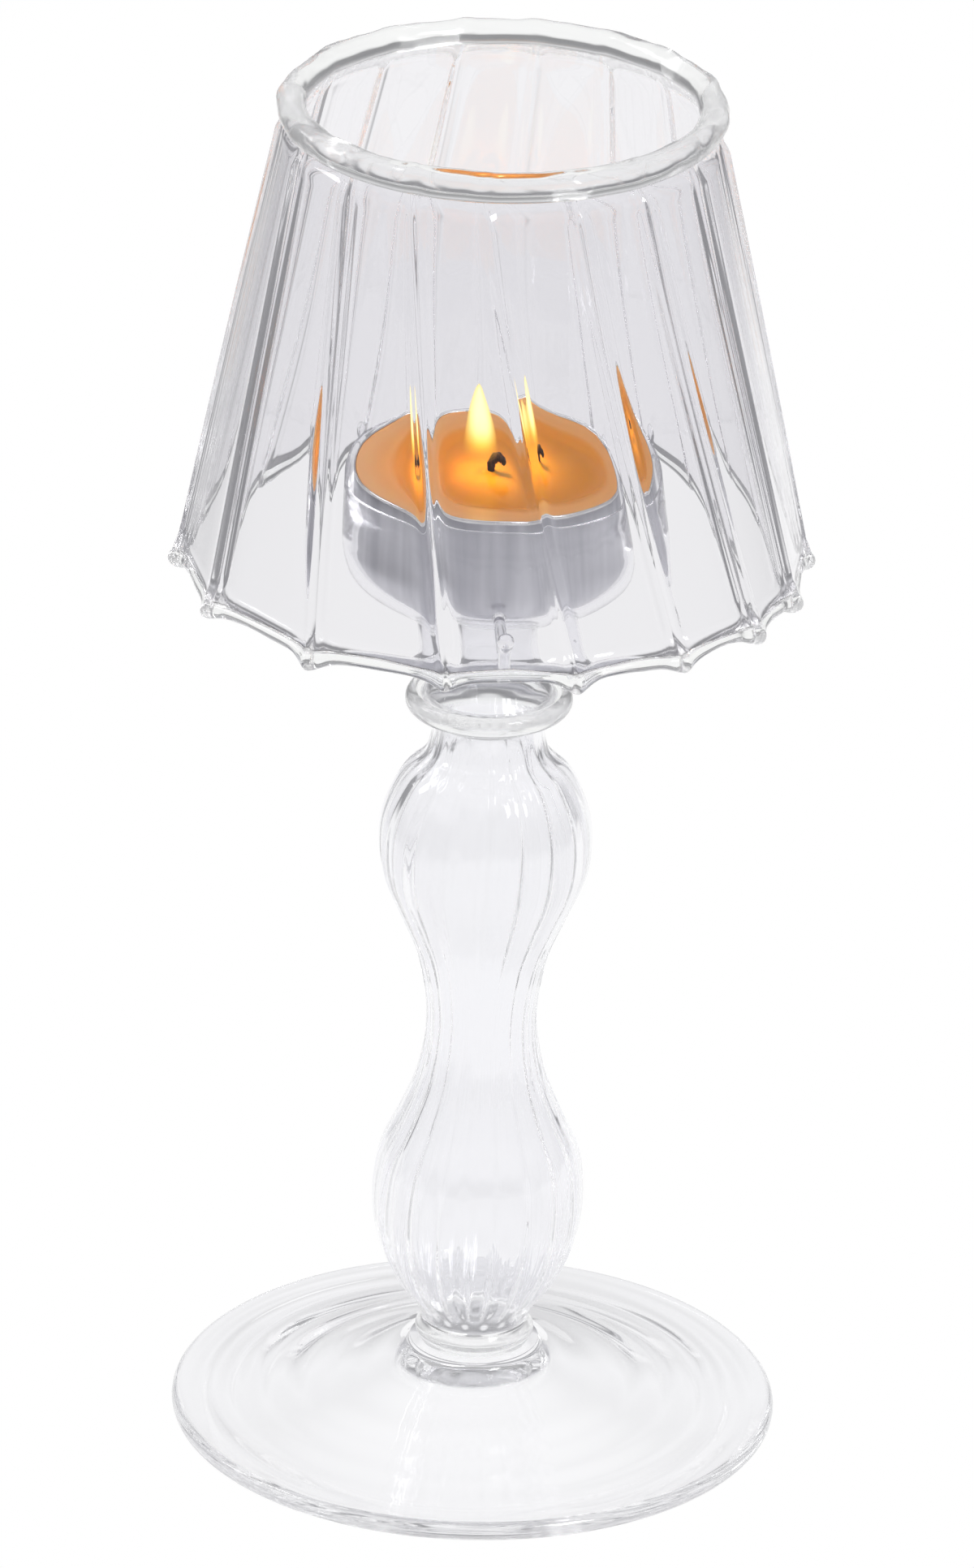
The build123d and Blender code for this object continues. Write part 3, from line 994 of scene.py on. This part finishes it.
def make_flame():
    """Nested shells that fade out downwards, from a yellow edge to a white heart."""
    edge_colour = Vector((1.0, 0.74, 0.22))
    heart_colour = Vector((1.0, 0.97, 0.86))
    low_colour = Vector((1.0, 0.55, 0.06))
    height = FLAME_TIP - FLAME_FOOT
    for number in range(FLAME_SHELLS):
        inward = number / (FLAME_SHELLS - 1)
        size = 1 - 0.68 * inward
        colour = edge_colour.lerp(heart_colour, inward)
        name = f"flame_shell_{number + 1}"
        material = flame_material(name, 1.5 + 1.9 * inward, [
            (0.0, (*low_colour, 0.0)),
            (0.22, (*low_colour, 0.18 * FLAME_SOLID)),
            (0.42, (*low_colour.lerp(colour, 0.6), 0.6 * FLAME_SOLID)),
            (0.62, (*colour, FLAME_SOLID)),
        ])
        top = FLAME_TIP - height * 0.12 * (1 - size)
        foot = FLAME_FOOT + height * 0.22 * (1 - size)
        outline = [(foot + (top - foot) * share, radius * size) for share, radius in FLAME_PROFILE]
        make_flame_shell(name, outline, material)


# ------------------------------------------------------------------ stage
def make_floor():
    """A table top that glows rather than being lit: painted light, white near the object, which falls
    off to grey towards its far ends and soonest at the sides.
    """
    material, nodes, links, output = new_material("floor_painted_light")
    glow = nodes.new("ShaderNodeEmission")
    # Painted falloff of light: the glow fades from white to grey away from the object.
    spread = radial_ramp(nodes, links, FLOOR_REACH, [
        (0.0, (1.0, 1.0, 1.0)),
        (0.22, (1.0, 1.0, 1.0)),
        (0.42, (0.30, 0.30, 0.31)),
    ], FLOOR_SHIFT, FLOOR_NARROW)
    links.new(spread.outputs["Color"], glow.inputs["Color"])
    links.new(glow.outputs["Emission"], output.inputs["Surface"])
    half = 2 * FLOOR_REACH
    below = -0.2
    corners = [(-half, -half, below), (half, -half, below), (half, half, below), (-half, half, below)]
    floor = mesh_object("floor", corners, [(0, 1, 2, 3)], [0], [material])


def make_world():
    """Soft studio light in bands: dim at the horizon, bright overhead."""
    world = bpy.data.worlds.new("studio")
    bpy.context.scene.world = world
    world.use_nodes = True
    nodes = world.node_tree.nodes
    links = world.node_tree.links
    nodes.clear()
    coordinates = nodes.new("ShaderNodeTexCoord")
    split = nodes.new("ShaderNodeSeparateXYZ")
    ramp = add_ramp(nodes, [
        (0.0, (0.28, 0.28, 0.29)),
        (0.20, (0.36, 0.36, 0.37)),
        (0.40, (0.75, 0.75, 0.77)),
        (0.58, (0.30, 0.30, 0.31)),
        (0.80, (0.90, 0.90, 0.90)),
    ])
    background = nodes.new("ShaderNodeBackground")
    background.inputs["Strength"].default_value = 1.0
    output = nodes.new("ShaderNodeOutputWorld")
    links.new(coordinates.outputs["Generated"], split.inputs["Vector"])
    links.new(split.outputs["Z"], ramp.inputs["Fac"])
    links.new(ramp.outputs["Color"], background.inputs["Color"])
    links.new(background.outputs["Background"], output.inputs["Surface"])


def add_softbox(name, place, target, size, power):
    """A rectangular soft light that faces its target."""
    light = bpy.data.lights.new(name, "AREA")
    light.shape = "RECTANGLE"
    light.size, light.size_y = size
    light.energy = power
    lamp = bpy.data.objects.new(name, light)
    lamp.location = place
    lamp.rotation_euler = (Vector(target) - Vector(place)).to_track_quat("-Z", "Y").to_euler()
    bpy.context.scene.collection.objects.link(lamp)


def add_lights(tealight):
    """Two soft boxes, and the flame's own light, which isn't seen itself."""
    middle = (0, 0, 0.1)
    add_softbox("key", (0.8, -0.9, 1.1), middle, (0.4, 0.6), 9)
    add_softbox("fill", (-1.1, 0.3, 1.0), middle, (0.3, 0.8), 4)
    flame = bpy.data.lights.new("flame_light", "POINT")
    flame.energy = 0.022
    flame.color = (1.0, 0.55, 0.2)
    flame.shadow_soft_size = 0.002
    lamp = bpy.data.objects.new("flame_light", flame)
    lamp.location = (FLAME_CENTRE * MM, 0, (FLAME_TIP - 4) * MM)
    lamp.parent = tealight
    lamp.visible_camera = False
    lamp.visible_glossy = False
    lamp.visible_transmission = False
    bpy.context.scene.collection.objects.link(lamp)


def add_camera():
    """The camera: far off, looking down, and a little tilted to one side."""
    data = bpy.data.cameras.new("camera")
    data.sensor_fit = "VERTICAL"
    data.sensor_height = CAMERA_SENSOR
    data.lens = CAMERA_LENS
    camera = bpy.data.objects.new("camera", data)
    camera.location = CAMERA_PLACE
    tilt = Euler((math.radians(90 - CAMERA_DOWN), 0, 0)).to_matrix()
    roll = Euler((0, 0, math.radians(CAMERA_ROLL))).to_matrix()
    camera.rotation_euler = (tilt @ roll).to_euler()
    bpy.context.scene.collection.objects.link(camera)
    bpy.context.scene.camera = camera


def set_render_look():
    """Plain colours, and enough bounces for light to cross many layers of glass."""
    scene = bpy.context.scene
    scene.view_settings.view_transform = "Standard"
    scene.cycles.max_bounces = 48
    scene.cycles.transmission_bounces = 48
    scene.cycles.glossy_bounces = 48
    scene.cycles.transparent_max_bounces = 32


# ------------------------------------------------------------------ the scene
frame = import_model()

# The lampshade's glass carries painted shade in its greyer tint.
shade_glass = glass_material("shade_glass", SHADE_TINT_WITH_PAINTED_SHADE, 0.01, 0.015, 60, (1, 1, 0.15))
base_glass = glass_material("base_glass", BASE_TINT, 0.02, 0.02, 60)
stem_glass = glass_material("stem_glass", BASE_TINT, 0.03, 0.05, 300, (1, 1, 0.06))
ring_glass = glass_material("ring_glass", RING_TINT, 0.12, 0.05, 140)
fused = joint_material("fused_glass")
aluminium = metal_material(
    "aluminium_foil", (0.78, 0.78, 0.81), (0.50, 0.50, 0.54), 0.38, (1, 1, 0.05), 320)
# A lighter copy of the can's aluminium for its rolled edge: a painted highlight.
painted_highlight_edge = metal_material(
    "aluminium_edge_painted_highlight", (0.95, 0.94, 0.93), (0.80, 0.79, 0.78), 0.22, (1, 1, 1), 300)
tinplate = metal_material(
    "tinplate", (0.70, 0.70, 0.70), (0.50, 0.50, 0.50), 0.30, (1, 1, 1), 300)

make_foot(base_glass, fused)
make_foot_ring(ring_glass, fused)
make_stem(stem_glass, fused)
make_collar(ring_glass, fused)
make_neck(base_glass, fused)
make_cup(base_glass, fused)
for arm_node, arm_angle in ARM_ANGLES.items():
    make_arm(arm_node, arm_angle, base_glass)
make_shade(shade_glass, ring_glass, fused)
make_can(aluminium, painted_highlight_edge)
make_wax(wax_material())
make_wick(wick_material())
make_flame()
tab = frame["nodes"]["wick_sustainer"]
tab.data.materials.clear()
tab.data.materials.append(tinplate)

make_floor()
make_world()
add_lights(frame["bodies"]["tealight"])
add_camera()
set_render_look()
